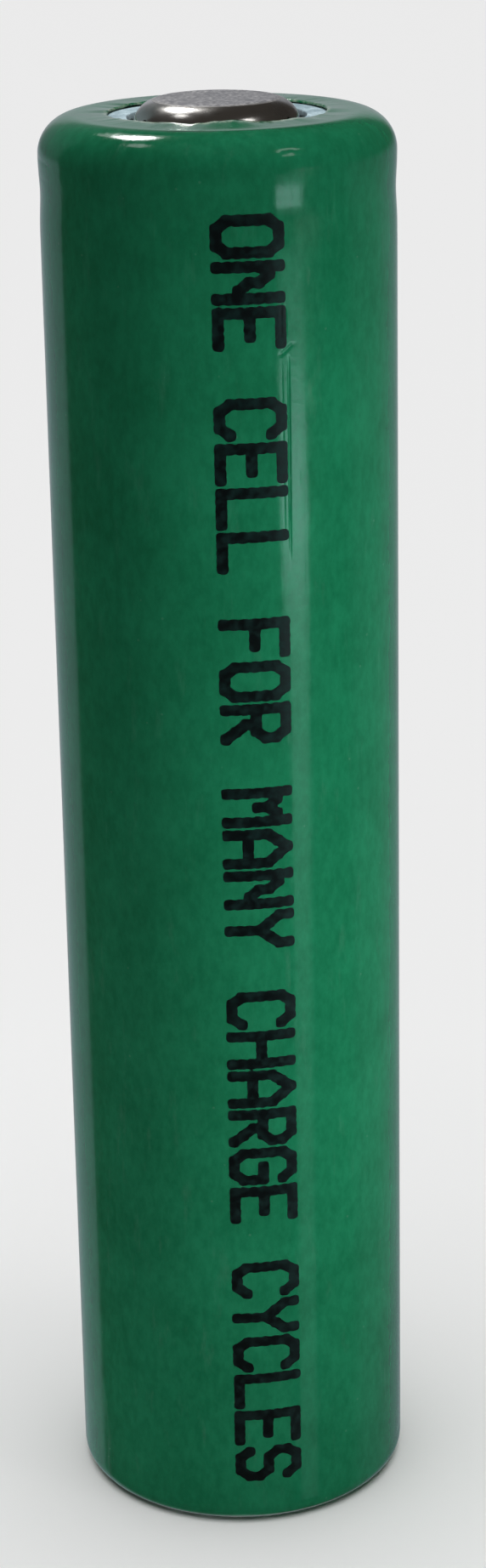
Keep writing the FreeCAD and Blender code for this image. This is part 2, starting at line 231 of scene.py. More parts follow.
def top_fold(azimuth, radius, height):
    """The fold over the washer: its edge curls up and reaches inwards at the front."""
    inward = ramp(radius, TOP_FOLD, TOP_FOLD_FULL)
    front = 0.5 + 0.5 * math.cos(azimuth)
    pleat = ripple(azimuth, 0, 5.5, 1, 1.7) + 0.5 * ripple(azimuth, 0, 13, 1, 5.2)
    lip = 0.065 * front**2 + 0.075 * bump_at(angle_between(azimuth, 4), math.radians(11))
    height += (lip - 0.012 + 0.034 * pleat) * inward * MM
    reach = 0.3 * front**3 + 0.05 * ripple(azimuth, 0, 2.4, 1, 4.4) + 0.012 * pleat
    return radius - reach * inward * MM, height


def bottom_fold(azimuth, radius, height):
    """The fold under the heel, puckered where it is gathered."""
    inward = ramp(radius, BOTTOM_FOLD, BOTTOM_FOLD_FULL)
    pleat = abs(ripple(azimuth, 0, 6.5, 1, 2.9)) + 0.5 * abs(ripple(azimuth, 0, 15, 1, 6))
    wave = 0.08 * ripple(azimuth, 0, 3, 1, 7.7)
    return radius + wave * inward * MM, height + 0.03 * pleat * inward * MM


def barrel_heights():
    """Heights down the straight side, closer together where the film has detail."""
    stretches = [
        np.arange(HEEL, 1.4 * MM, 0.07 * MM),
        np.arange(1.4 * MM, 36.9 * MM, 0.36 * MM),
        np.arange(36.9 * MM, 37.8 * MM, 0.05 * MM),
        np.arange(37.8 * MM, 40.2 * MM, 0.2 * MM),
        np.arange(40.2 * MM, STRAIGHT_TOP - 0.02 * MM, 0.045 * MM),
        [STRAIGHT_TOP],
    ]
    return np.concatenate(stretches)[::-1]


def make_sleeve():
    """The film, outside and inside, from its edge in the top fold to the one below."""
    edge = FILM / 2
    shoulder = (RADIUS - SHOULDER, STRAIGHT_TOP)
    heel = (RADIUS - HEEL, HEEL)
    top_edge = (OPENING + edge, TOP - edge)
    bottom_edge = (BOTTOM_OPENING + edge, edge)
    outside = (
        arc(top_edge, edge, 180, 90, 5)[:-1]
        + line((OPENING + edge, TOP), (shoulder[0], TOP), 12)
        + arc(shoulder, SHOULDER, 90, 0, 33)[:-1]
        + [(RADIUS, height) for height in barrel_heights()]
        + arc(heel, HEEL, 0, -90, 11)[1:-1]
        + line((heel[0], 0), (BOTTOM_OPENING + edge, 0), 9)
        + arc(bottom_edge, edge, -90, -180, 5)
    )
    inside = (
        line((BOTTOM_OPENING + edge, FILM), (heel[0], FILM), 4)
        + arc(heel, HEEL - FILM, -90, 0, 6)[:-1]
        + line((BORE, HEEL), (BORE, STRAIGHT_TOP), 3)
        + arc(shoulder, SHOULDER - FILM, 0, 90, 8)[:-1]
        + line((shoulder[0], TOP - FILM), (OPENING + edge, TOP - FILM), 8)
    )

    def shape(azimuth, radius, height, place):
        if place < len(outside):
            radius -= barrel_inset(azimuth, height) * ramp(radius, TOP_FOLD, RADIUS)
        if height > STRAIGHT_TOP:
            return top_fold(azimuth, radius, height)
        if height < HEEL:
            return bottom_fold(azimuth, radius, height)
        return radius, height

    # finer steps round the creases beside the print
    azimuths = full_turn(240, (18.5, 23, 0.25), (12, 32, 0.75))
    sleeve = lathe("sleeve_film", outside + inside, azimuths, shape)
    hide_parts("shrink_sleeve")
    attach(sleeve, "cell")
    return sleeve


# ---------------------------------------------------------------- printed line
TEXT = "ONE CELL FOR MANY CHARGE CYCLES"
GLYPHS = {
    "A": ("..#..", ".#.#.", "#...#", "#...#", "#####", "#...#", "#...#"),
    "C": (".###.", "#...#", "#....", "#....", "#....", "#...#", ".###."),
    "E": ("#####", "#....", "#....", "####.", "#....", "#....", "#####"),
    "F": ("#####", "#....", "#....", "####.", "#....", "#....", "#...."),
    "G": (".###.", "#...#", "#....", "#.###", "#...#", "#...#", ".###."),
    "H": ("#...#", "#...#", "#...#", "#####", "#...#", "#...#", "#...#"),
    "L": ("#....", "#....", "#....", "#....", "#....", "#....", "#####"),
    "M": ("#...#", "##.##", "#.#.#", "#.#.#", "#...#", "#...#", "#...#"),
    "N": ("#...#", "##..#", "#.#.#", "#.#.#", "#..##", "#...#", "#...#"),
    "O": (".###.", "#...#", "#...#", "#...#", "#...#", "#...#", ".###."),
    "R": ("####.", "#...#", "#...#", "####.", "#.#..", "#..#.", "#...#"),
    "S": (".###.", "#...#", "#....", ".###.", "....#", "#...#", ".###."),
    "Y": ("#...#", "#...#", ".#.#.", "..#..", "..#..", "..#..", "..#.."),
}
PRINT_TOP = 41.24 * MM  # height where the line starts; it runs down the cell
LETTER_PITCH = 1.283 * MM
LETTER_HEIGHT = 2.12 * MM
BASELINE = math.radians(-2.9)  # azimuth of the letters' feet
STROKE = 0.34 * MM
LINK_THINNER = 0.022 * MM  # what a link lacks of a dot's radius
COLUMN = 0.222 * MM
ROW = (LETTER_HEIGHT - STROKE) / 6
SQUARE = 3.2  # 2 gives round dots, and more gives squarer ones
SWAY = 0.025 * MM  # how far a letter may stand off the line
RAGGED = 0.016 * MM  # how far the ink's outline wanders
RAGGED_SIZE = 0.16 * MM
INK_CELL = 0.045 * MM  # grid on which the outline is found
INK_MARGIN = 4  # grid cells left free round the line
INK_DEPTH = 0.006 * MM
FAR = 1.0  # more than any distance in the grid


def letter_strokes(letter):
    """The dots of a letter and the links between neighbours, as segments between points
    of (along, up)."""
    rows = GLYPHS[letter]
    dots = {(c, r) for r, row in enumerate(rows) for c, mark in enumerate(row) if mark == "#"}

    def spot(dot):
        return (STROKE / 2 + dot[0] * COLUMN, STROKE / 2 + (6 - dot[1]) * ROW)

    strokes = [(spot(dot), spot(dot)) for dot in sorted(dots)]
    for c, r in sorted(dots):
        for step_c, step_r in ((1, 0), (0, 1), (1, 1), (-1, 1)):
            other = (c + step_c, r + step_r)
            diagonal = step_c and step_r
            corner_filled = (c + step_c, r) in dots or (c, r + step_r) in dots
            if other in dots and not (diagonal and corner_filled):
                strokes.append((spot((c, r)), spot(other)))
    return strokes


def distance_to(strokes, along, up):
    """Distance from every grid point to the nearest stroke; links are thinner than dots."""
    nearest = np.full(along.shape, FAR)
    for (x0, y0), (x1, y1) in strokes:
        length2 = (x1 - x0) ** 2 + (y1 - y0) ** 2
        share = 0
        thinner = 0
        if length2 > 0:
            share = ((along - x0) * (x1 - x0) + (up - y0) * (y1 - y0)) / length2
            share = np.clip(share, 0, 1)
            thinner = LINK_THINNER
        across = np.abs(along - x0 - share * (x1 - x0))
        down = np.abs(up - y0 - share * (y1 - y0))
        away = (across**SQUARE + down**SQUARE) ** (1 / SQUARE)
        nearest = np.minimum(nearest, away + thinner)
    return nearest


def ink_grid():
    """Distance along the line and up the letters, at every point of the print's grid."""
    columns = int(len(TEXT) * LETTER_PITCH / INK_CELL) + 2 * INK_MARGIN
    rows = int(LETTER_HEIGHT / INK_CELL) + 2 * INK_MARGIN
    along = (np.arange(columns) - INK_MARGIN)[:, None] * INK_CELL + np.zeros((1, rows))
    up = (np.arange(rows) - INK_MARGIN)[None, :] * INK_CELL + np.zeros((columns, 1))
    return along, up


def ink_wander(along, up):
    """Noise between about -1 and 1 over the grid, for the ink's uneven spread."""
    return np.array(
        [
            [noise.noise(Vector((a / RAGGED_SIZE, u / RAGGED_SIZE, 0))) for u in up[0]]
            for a in along[:, 0]
        ]
    )


def ink_field(along, up):
    """The print's signed distance over the grid: negative where there is ink."""
    reach = int(1.5 * LETTER_PITCH / INK_CELL) + 2 * INK_MARGIN
    field = np.full(along.shape, FAR)
    for place, letter in enumerate(TEXT):
        if letter == " ":
            continue
        start = place * LETTER_PITCH
        first = int(start / INK_CELL)
        window = slice(first, first + reach)
        sway = SWAY * noise.noise(Vector((place * 0.7, 2.2, 0)))
        found = distance_to(
            letter_strokes(letter), along[window] - start, up[window] - sway
        )
        field[window] = np.minimum(field[window], found)
    return field - STROKE / 2 - RAGGED * ink_wander(along, up)


def outlined_cells(field):
    """Marching squares: polygons that fill the ink. Each corner of one is a pair of grid
    points of (column, row): the same point twice where that point has ink, or the two that
    the outline passes between."""
    inside = field < 0
    some = inside[:-1, :-1] | inside[1:, :-1] | inside[1:, 1:] | inside[:-1, 1:]
    polygons = []
    for c, r in np.argwhere(some):
        corners = [(c, r), (c + 1, r), (c + 1, r + 1), (c, r + 1)]
        polygon = []
        for corner, after in zip(corners, corners[1:] + corners[:1]):
            if inside[corner]:
                polygon.append((corner, corner))
            if inside[corner] != inside[after]:
                polygon.append((min(corner, after), max(corner, after)))
        polygons.append(polygon)
    return polygons


def ink_sheet():
    """The print laid flat: points of (along, up), and faces of point numbers."""
    along, up = ink_grid()
    field = ink_field(along, up)
    numbers = {}
    points = []
    faces = []
    for polygon in outlined_cells(field):
        for low, high in polygon:
            if (low, high) in numbers:
                continue
            share = 0
            if low != high:
                share = field[low] / (field[low] - field[high])
            numbers[low, high] = len(points)
            point_along = along[low] + share * (along[high] - along[low])
            point_up = up[low] + share * (up[high] - up[low])
            points.append((point_along, point_up))
        faces.append([numbers[corner] for corner in polygon])
    return points, faces


def make_print():
    """A thin layer of ink on the film, closed all round."""
    points, faces = ink_sheet()
    vertices = []
    for lift in (-INK_DEPTH, INK_DEPTH):
        for distance, rise in points:
            azimuth = BASELINE + rise / RADIUS
            height = PRINT_TOP - distance
            radius = min(barrel_radius(azimuth, height) + lift, RADIUS)
            vertices.append((radius * math.sin(azimuth), -radius * math.cos(azimuth), height))
    count = len(points)
    upper = [[v + count for v in reversed(face)] for face in faces]
    sides = {(a, b) for face in faces for a, b in zip(face, face[1:] + face[:1])}
    rim = [(a, b) for a, b in sorted(sides) if (b, a) not in sides]
    walls = [(a + count, b + count, b, a) for a, b in rim]
    ink = new_object("ink_print", vertices, faces + upper + walls)
    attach(ink, "cell")
    return ink


# ---------------------------------------------------------------- cap, washer and rubber
CAP_SKIN = 0.25 * MM
CAP_BASE = 2.52 * MM  # radius of the wall at the flange
CAP_CORNER = 2.44 * MM  # radius of the wall where the rounding starts
CAP_ROUND = 0.85 * MM
CAP_DENT = 0.006 * MM
CAP_UNEVEN = 0.004  # mm
FLANGE = cap_high.x
OUTLET = 0.22 * MM
OUTLET_RISE = 0.29 * MM
OUTLET_AZIMUTHS = (180, 60, -60)
WASHER_BORE = 2.6 * MM
BLOCK_RADIUS = 1.1 * MM


def make_cap():
    """Stamped hat: rounded flange rim, wall that leans in, wide shoulder, flat top."""
    foot = cap_low.z
    flange_top = foot + CAP_SKIN
    rim = CAP_SKIN / 2
    fillet = 0.1 * MM
    lean = math.degrees(math.atan2(CAP_BASE - CAP_CORNER, CAP_TOP - flange_top))
    centre = (CAP_CORNER - CAP_ROUND, CAP_TOP - CAP_ROUND)
    under = CAP_TOP - CAP_SKIN
    dented = CAP_TOP - CAP_DENT
    profile = (
        [(0, dented), (0.4 * MM, dented)]
        + [(0.9 * MM, CAP_TOP - CAP_DENT / 2), (1.25 * MM, CAP_TOP)]
        + arc(centre, CAP_ROUND, 90, lean, 22)
        + arc((CAP_BASE + fillet, flange_top + fillet), fillet, 180 + lean, 270, 7)
        + arc((FLANGE - rim, foot + rim), rim, 90, -90, 9)
        + [(CAP_BASE - CAP_SKIN, foot)]
        + arc(centre, CAP_ROUND - CAP_SKIN, 0, 90, 9)
        + [(0.5 * MM, under), (0, under)]
    )

    def shape(azimuth, radius, height, place):
        if height > flange_top + fillet:
            wave = ripple(azimuth, radius, 1.5 * radius / CAP_CORNER, 1 * MM, 6.6)
            height += (CAP_UNEVEN * wave - CAP_UNEVEN) * MM
        return radius, height

    cap = lathe("cap", profile, full_turn(192), shape, closed=False)
    cut_outlets(cap, flange_top + OUTLET_RISE)
    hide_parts("positive_cap")
    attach(cap, "cell")
    return cap


def cut_outlets(cap, height):
    """Cuts the gas outlets through the wall, on one side of the axis each."""
    cutters = []
    for azimuth in OUTLET_AZIMUTHS:
        bpy.ops.mesh.primitive_cylinder_add(vertices=40, radius=OUTLET, depth=CAP_BASE)
        cutter = bpy.context.object
        out = math.radians(azimuth)
        away = Vector((math.sin(out), -math.cos(out), 0))
        cutter.rotation_euler = away.to_track_quat("Z", "Y").to_euler()
        cutter.location = away * (0.85 * CAP_BASE) + Vector((0, 0, height))
        modifier = cap.modifiers.new("outlet", "BOOLEAN")
        modifier.object = cutter
        modifier.solver = "EXACT"
        cutters.append(cutter)
    bpy.context.view_layer.update()
    depsgraph = bpy.context.evaluated_depsgraph_get()
    cap.data = bpy.data.meshes.new_from_object(cap.evaluated_get(depsgraph))
    cap.modifiers.clear()
    for cutter in cutters:
        bpy.data.objects.remove(cutter)


def make_washer():
    """Punched ring with softened edges and a faintly wavy bore."""
    outer = washer_high.x
    low = washer_low.z
    high = washer_high.z
    soft = 0.04 * MM
    wavy = WASHER_BORE + 0.2 * MM
    wave = 0.02 * MM

    def shape(azimuth, radius, height, place):
        if radius < wavy:
            radius += wave * ripple(azimuth, 0, 4, 1, 9.1)
        return radius, height

    profile = (
        arc((WASHER_BORE + soft, high - soft), soft, 180, 90, 4)
        + line((wavy, high), (outer - soft, high), 5)
        + arc((outer - soft, high - soft), soft, 90, 0, 4)
        + arc((outer - soft, low + soft), soft, 0, -90, 4)
        + [(WASHER_BORE + 0.3 * MM, low)]
        + arc((WASHER_BORE + soft, low + soft), soft, -90, -180, 4)
    )
    washer = lathe("washer", profile, full_turn(192), shape)
    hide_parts("top_washer")
    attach(washer, "cell")
    return washer


def make_rubber():
    """Vent block, narrower at its two faces."""
    edge = rubber_high.z - rubber_low.z
    middle = (rubber_low.z + rubber_high.z) / 2
    tuck = 0.09 * MM
    side = [
        (BLOCK_RADIUS - tuck * (2 * (z - middle) / edge) ** 4, z)
        for z in np.linspace(rubber_low.z, rubber_high.z, 13)
    ]
    profile = [(0, rubber_low.z), (0.5 * MM, rubber_low.z)] + side
    profile += [(0.5 * MM, rubber_high.z), (0, rubber_high.z)]
    block = lathe("vent_block", profile, full_turn(96), closed=False)
    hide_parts("vent_rubber")
    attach(block, "cell")
    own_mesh(block)
    return block


# ---------------------------------------------------------------- materials
class Nodes:
    """A material's node tree, with short calls for the nodes used here."""

    def __init__(self, name):
        self.material = bpy.data.materials.new(name)
        self.material.use_nodes = True
        self.tree = self.material.node_tree
        self.shader = self.tree.nodes["Principled BSDF"]
        self.place = self.tree.nodes.new("ShaderNodeTexCoord").outputs["Object"]

    def node(self, kind, **settings):
        made = self.tree.nodes.new(kind)
        for name, value in settings.items():
            setattr(made, name, value)
        return made

    def link(self, source, target):
        self.tree.links.new(source, target)

    def scaled(self, x, y, z):
        """The object's coordinates, times a number of waves per metre each way."""
        mapping = self.node("ShaderNodeMapping")
        mapping.inputs["Scale"].default_value = (x, y, z)
        self.link(self.place, mapping.inputs["Vector"])
        return mapping.outputs["Vector"]

    def noise(self, size, detail=3, stretch=1, rough=0.5):
        """Noise with features of a size in mm, stretched along Z."""
        texture = self.node("ShaderNodeTexNoise")
        waves = 1 / (size * MM)
        self.link(self.scaled(waves, waves, waves / stretch), texture.inputs["Vector"])
        texture.inputs["Scale"].default_value = 1
        texture.inputs["Detail"].default_value = detail
        texture.inputs["Roughness"].default_value = rough
        return texture.outputs["Fac"]

    def specks(self, size, share):
        """Small round specks: 1 inside a speck and 0 elsewhere."""
        texture = self.node("ShaderNodeTexVoronoi", feature="F1")
        waves = 1 / (size * MM)
        self.link(self.scaled(waves, waves, waves), texture.inputs["Vector"])
        texture.inputs["Scale"].default_value = 1
        return self.ramp(texture.outputs["Distance"], share, 0, share * 0.6, 1)

    def ramp(self, value, low, low_to, high, high_to):
        """Maps low..high to low_to..high_to, held at its ends."""
        mapped = self.node("ShaderNodeMapRange", clamp=True)
        self.link(value, mapped.inputs["Value"])
        for name, number in (
            ("From Min", low),
            ("From Max", high),
            ("To Min", low_to),
            ("To Max", high_to),
        ):
            mapped.inputs[name].default_value = number
        return mapped.outputs["Result"]

    def math(self, operation, first, second):
        made = self.node("ShaderNodeMath", operation=operation)
        for socket, value in zip(made.inputs, (first, second)):
            if isinstance(value, (int, float)):
                socket.default_value = value
            else:
                self.link(value, socket)
        return made.outputs["Value"]

    def mix(self, share, first, second):
        """A colour between two, by a share from 0 to 1."""
        made = self.node("ShaderNodeMix", data_type="RGBA")
        self.link(share, made.inputs["Factor"])
        for socket, value in ((made.inputs["A"], first), (made.inputs["B"], second)):
            if isinstance(value, tuple):
                socket.default_value = (*value, 1)
            else:
                self.link(value, socket)
        return made.outputs["Result"]

    def bump(self, height, strength, depth):
        """Adds a bump of a depth in mm on top of those already there."""
        made = self.node("ShaderNodeBump")
        made.inputs["Strength"].default_value = strength
        made.inputs["Distance"].default_value = depth * MM
        self.link(height, made.inputs["Height"])
        if self.shader.inputs["Normal"].is_linked:
            before = self.shader.inputs["Normal"].links[0].from_socket
            self.link(before, made.inputs["Normal"])
        self.link(made.outputs["Normal"], self.shader.inputs["Normal"])

    def set(self, **values):
        """Values straight on the shader's sockets; underscores stand for spaces."""
        for name, value in values.items():
            socket = self.shader.inputs[name.replace("_", " ")]
            if isinstance(value, bpy.types.NodeSocket):
                self.link(value, socket)
            elif isinstance(value, tuple):
                socket.default_value = (*value, 1)
            else:
                socket.default_value = value


def paint(piece, nodes):
    piece.data.materials.clear()
    piece.data.materials.append(nodes.material)


def film_material():
    """Glossy green PVC: cloudy pigment, fine mottling, faint draw lines, scuffs, dust, and a
    painted highlight along the cut edge of the top opening.
    """
    n = Nodes("film_pvc")
    clouds = n.ramp(n.noise(2.2, 4), 0.35, 0, 0.65, 1)
    mottle = n.ramp(n.noise(0.3, 5, stretch=1.8, rough=0.7), 0.36, 0, 0.64, 1)
    lines = n.ramp(n.noise(0.25, 2, stretch=40), 0.4, 0, 0.62, 1)
    scuffs = n.ramp(n.noise(0.5, 6, stretch=5, rough=0.7), 0.58, 0, 0.72, 1)
    dust = n.specks(0.8, 0.06)
    tone = n.math("ADD", n.math("MULTIPLY", clouds, 0.45), n.math("MULTIPLY", mottle, 0.55))
    green = n.mix(tone, (0.0052, 0.13, 0.055), (0.0108, 0.19, 0.087))
    worn = n.mix(n.math("MULTIPLY", scuffs, 0.12), green, (0.09, 0.25, 0.18))
    dusty = n.mix(n.math("MULTIPLY", dust, 0.08), worn, (0.3, 0.38, 0.34))
    # painted highlight: the film's cut edge round the top opening is mixed towards pale cream
    # in patches, standing in for light caught along the edge
    outwards = n.node("ShaderNodeVectorMath", operation="LENGTH")
    n.link(n.scaled(1, 1, 0), outwards.inputs[0])
    edge = n.ramp(outwards.outputs["Value"], OPENING - 0.06 * MM, 1, OPENING + 0.12 * MM, 0)
    highlight_patches = n.ramp(n.noise(0.22, 4, rough=0.7), 0.42, 0, 0.58, 0.85)
    # painted highlight: pale cream colour where the edge mask and the patches meet
    with_edge_highlight = n.mix(n.math("MULTIPLY", edge, highlight_patches), dusty, (0.46, 0.55, 0.42))
    rough = n.math("ADD", 0.08, n.math("MULTIPLY", mottle, 0.05))
    rough = n.math("ADD", rough, n.math("MULTIPLY", scuffs, 0.16))
    n.set(Base_Color=with_edge_highlight, Roughness=rough, IOR=1.5)
    n.bump(lines, 0.35, 0.0016)
    n.bump(n.noise(0.16, 4, rough=0.6), 0.35, 0.0028)
    n.bump(mottle, 0.25, 0.0025)
    n.bump(scuffs, 0.3, 0.003)
    return n


def nickel_material(name, base, rough, scratch=0.4):
    """Plated steel: polish lines each way, stains and contact wear."""
    n = Nodes(name)
    stains = n.ramp(n.noise(0.9, 4), 0.4, 0, 0.7, 1)
    fine = n.noise(0.05, 2, stretch=0.2)
    cross = n.noise(0.09, 3, stretch=6)
    dark = tuple(0.72 * c for c in base)
    n.set(Base_Color=n.mix(stains, base, dark), Metallic=1.0)
    n.set(Roughness=n.math("ADD", rough, n.math("MULTIPLY", stains, 0.14)))
    n.bump(fine, scratch, 0.0015)
    n.bump(cross, scratch * 0.7, 0.002)
    n.bump(n.noise(0.7, 2), 0.3, 0.01)
    return n


def cap_material():
    """Plated steel with a dull, rubbed and stained top face above a bright edge."""
    n = nickel_material("cap_plated", (0.7, 0.68, 0.65), 0.16, 0.25)
    height = n.node("ShaderNodeSeparateXYZ")
    n.link(n.place, height.inputs["Vector"])
    rubbed = n.ramp(height.outputs["Z"], CAP_TOP - 0.06 * MM, 0, CAP_TOP - 0.022 * MM, 1)
    blotches = n.ramp(n.noise(0.35, 5, rough=0.65), 0.3, 0, 0.7, 1)
    scores = n.ramp(n.noise(0.12, 3), 0.35, 0, 0.65, 1)
    wear = n.math("MULTIPLY", blotches, scores)
    dull = n.mix(wear, (0.2, 0.2, 0.22), (0.72, 0.71, 0.71))
    plated = n.shader.inputs["Base Color"].links[0].from_socket
    n.set(Base_Color=n.mix(rubbed, plated, dull))
    n.set(Metallic=n.ramp(rubbed, 0, 1.0, 1, 0.35))
    smooth = n.shader.inputs["Roughness"].links[0].from_socket
    n.set(Roughness=n.math("ADD", smooth, n.math("MULTIPLY", rubbed, 0.3)))
    n.bump(n.math("MULTIPLY", wear, rubbed), 0.6, 0.012)
    return n


def fibre_material(name, light, dark):
    """Paper or non-woven cloth: short fibres each way and cloudy tone."""
    n = Nodes(name)
    fibres = n.noise(0.07, 4, stretch=0.3, rough=0.7)
    tone = n.ramp(n.math("MULTIPLY", n.noise(0.5, 3), fibres), 0.15, 0, 0.35, 1)
    n.set(Base_Color=n.mix(tone, dark, light), Roughness=0.85)
    n.bump(fibres, 0.6, 0.012)
    return n


def plastic_material(name, light, dark, rough, see_through=0.0):
    """Moulded plastic: faint flow marks and a fine matt skin."""
    n = Nodes(name)
    flow = n.noise(1.4, 3)
    n.set(Base_Color=n.mix(flow, dark, light))
    n.set(Roughness=n.ramp(n.noise(0.2, 3), 0.3, rough - 0.06, 0.7, rough + 0.06))
    n.set(Subsurface_Weight=see_through, Subsurface_Scale=0.0006)
    n.bump(n.noise(0.06, 2), 0.3, 0.003)
    return n


def washer_material():
    """Pale, slightly blue pressed paper."""
    return fibre_material("washer_fibre", (0.66, 0.84, 0.9), (0.3, 0.42, 0.48))


def rubber_material():
    return plastic_material("rubber_black", (0.02, 0.02, 0.02), (0.03, 0.03, 0.03), 0.6)


def ink_material():
    """Black ink, thin at its edges and slightly glossy."""
    n = Nodes("ink_black")
    thin = n.ramp(n.noise(0.22, 4), 0.42, 0, 0.72, 1)
    n.set(Base_Color=n.mix(thin, (0.0012, 0.0035, 0.004), (0.004, 0.02, 0.018)))
    n.set(Roughness=n.ramp(thin, 0, 0.3, 1, 0.45))
    n.bump(n.noise(0.08, 3), 0.4, 0.003)
    return n


def powder_material(name, light, dark, sparkle):
    """Pressed powder: grains, pits and a few bright metal points."""
    n = Nodes(name)
    grains = n.noise(0.06, 5, rough=0.7)
    points = n.specks(0.12, 0.16)
    body = n.mix(n.ramp(grains, 0.35, 0, 0.65, 1), dark, light)
    n.set(Base_Color=n.mix(n.math("MULTIPLY", points, sparkle), body, (0.5, 0.5, 0.48)))
    n.set(Roughness=n.ramp(points, 0, 0.8, 1, 0.35))
    n.bump(grains, 0.7, 0.02)
    return n


def paint_cad_nodes():
    """Every CAD node that stays gets the finish of its own stuff."""
    nickel = (0.6, 0.59, 0.56)
    white = (0.8, 0.8, 0.77)
    finishes = {
        "steel_can": nickel_material("can_plated", nickel, 0.26),
        "lid_plate": nickel_material("lid_plated", nickel, 0.3),
        "vent_disc": nickel_material("disc_stainless", (0.55, 0.55, 0.54), 0.32),
        "positive_tab": nickel_material("tab_rolled", (0.62, 0.6, 0.56), 0.3),
        "negative_core_strip": nickel_material("strip_plated", (0.5, 0.5, 0.48), 0.38),
        "sealing_gasket": plastic_material("nylon", white, (0.7, 0.68, 0.6), 0.42, 0.3),
        "upper_insulator": plastic_material("upper_sheet", white, (0.7, 0.7, 0.67), 0.5),
        "lower_insulator": plastic_material("lower_sheet", white, (0.7, 0.7, 0.67), 0.5),
        "inner_separator": fibre_material("inner_cloth", white, (0.6, 0.6, 0.58)),
        "outer_separator": fibre_material("outer_cloth", white, (0.6, 0.6, 0.58)),
        "positive_electrode": powder_material(
            "filled_foam", (0.06, 0.07, 0.06), (0.015, 0.018, 0.016), 0.7
        ),
        "negative_alloy_inner": powder_material(
            "alloy_inside", (0.16, 0.16, 0.16), (0.06, 0.06, 0.06), 0.25
        ),
        "negative_alloy_outer": powder_material(
            "alloy_outside", (0.16, 0.16, 0.16), (0.06, 0.06, 0.06), 0.25
        ),
    }
    for node, finish in finishes.items():
        paint(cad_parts[node], finish)


# ---------------------------------------------------------------- floor and light
NEAR_FLOOR = 62 * MM  # half the side of the near floor
FAR_FLOOR = 20


def make_floor():
    """A pale floor in two pieces: only the near one throws light back on the cell."""
    square = [(-1, -1), (1, -1), (1, 1), (-1, 1)]
    near = [(NEAR_FLOOR * x, NEAR_FLOOR * y, 0) for x, y in square]
    far = [(FAR_FLOOR * x, FAR_FLOOR * y, 0) for x, y in square]
    ring = [(4 + i, 4 + (i + 1) % 4, (i + 1) % 4, i) for i in range(4)]
    n = Nodes("floor_pale")
    n.set(Base_Color=(0.97, 0.97, 0.97), Roughness=0.9, Specular_IOR_Level=0.0)
    pieces = (("floor_near", near, [(0, 1, 2, 3)]), ("floor_far", near + far, ring))
    for name, corners, faces in pieces:
        floor = new_object(name, corners, faces)
        paint(floor, n)
        floor.visible_glossy = False
        floor.visible_diffuse = name == "floor_near"


def towards(azimuth, elevation):
    """Unit vector from the cell, by azimuth from the front and elevation in degrees."""
    out = math.radians(azimuth)
    up = math.radians(elevation)
    return Vector(
        (math.cos(up) * math.sin(out), -math.cos(up) * math.cos(out), math.sin(up))
    )


def lamp(name, direction, distance, target, size, radiance, glossy=False, along=None):
    """An area light that faces a target, seen only by diffuse surfaces or only in
    reflections. Distance and size are in mm, and its second side runs along a vector."""
    light = bpy.data.lights.new(name, "AREA")
    light.shape = "ELLIPSE" if glossy else "RECTANGLE"
    light.size = size[0] * MM
    light.size_y = size[1] * MM
    light.energy = radiance * math.pi * light.size * light.size_y
    if glossy:
        light.energy *= math.pi / 4
    made = bpy.data.objects.new(name, light)
    up = along or Vector((0, 0, 1))
    side = up.cross(direction).normalized()
    rise = direction.cross(side)
    turn = Matrix((side, rise, direction)).transposed().to_4x4()
    made.matrix_world = Matrix.Translation(target + direction * distance * MM) @ turn
    made.visible_camera = False
    made.visible_diffuse = not glossy
    made.visible_glossy = glossy
    bpy.context.scene.collection.objects.link(made)
    return made


def make_lamps():
    middle = Vector((0, 0, 0.5 * TOP))
    crown = Vector((0, 0, TOP))
    beside = Vector((0, 0, 24.3 * MM))
    key = lamp("key", towards(57, 0), 60, beside, (40, 39.5), 0.78)
    key.data.spread = math.radians(30)
    lamp("fill", towards(-60, 25), 300, middle, (200, 200), 0.35)
    # highlights: directions found from where they lie on the shoulder and the cap
    long_way = towards(-112.5, 60.7) - towards(-167, 40)
    lamp("lamp_left", towards(-144.3, 56), 300, crown, (62, 84), 27, True, long_way)
    lamp("lamp_glow", towards(-152, 50), 310, crown, (96, 84), 1.5, True, long_way)
    lamp("lamp_side", towards(-95, 60), 300, crown, (50, 60), 3, True, long_way)
    lamp("lamp_right", towards(60, 49), 300, crown, (70, 60), 2.2, True)
    sky = bpy.data.lights.new("overhead", "SUN")
    sky.angle = math.radians(70)
    sky.energy = 0.85 * math.pi
    overhead = bpy.data.objects.new("overhead", sky)
    overhead.visible_glossy = False
    bpy.context.scene.collection.objects.link(overhead)


# the room that the gloss mirrors, as radiance by direction, on the inside of a sphere
ROOM_RADIUS = 2.0
DARK = np.array((0.042, 0.038, 0.034))
BACK_LEFT = np.array((0.24, 0.34, 0.37))
BACK_RIGHT = np.array((0.17, 0.18, 0.25))
BACK_MIDDLE = np.array((0.36, 0.38, 0.42))
DAYLIGHT = np.array((2.1, 3.3, 3.2))
# the window: azimuths of its edges, the elevation where its lower pane starts, and its
# brightness by elevation
UPPER_LEFT = 36.5
LOWER_LEFT = 41.5
LOWER_PANE = -15.3
WINDOW_RIGHT = 57.5
WINDOW = [
    (-34, 0.0),
    (-31, 0.1),
    (-24, 0.14),
    (-20.8, 0.17),
    (-18.6, 0.34),
    (-16.4, 0.28),
    (-15.2, 0.4),
    (-14.3, 0.8),
    (-12.6, 1.25),
    (-11.2, 0.6),
    (-10.7, 0.16),
    (-8, 0.14),
    (-5, 0.0),
]


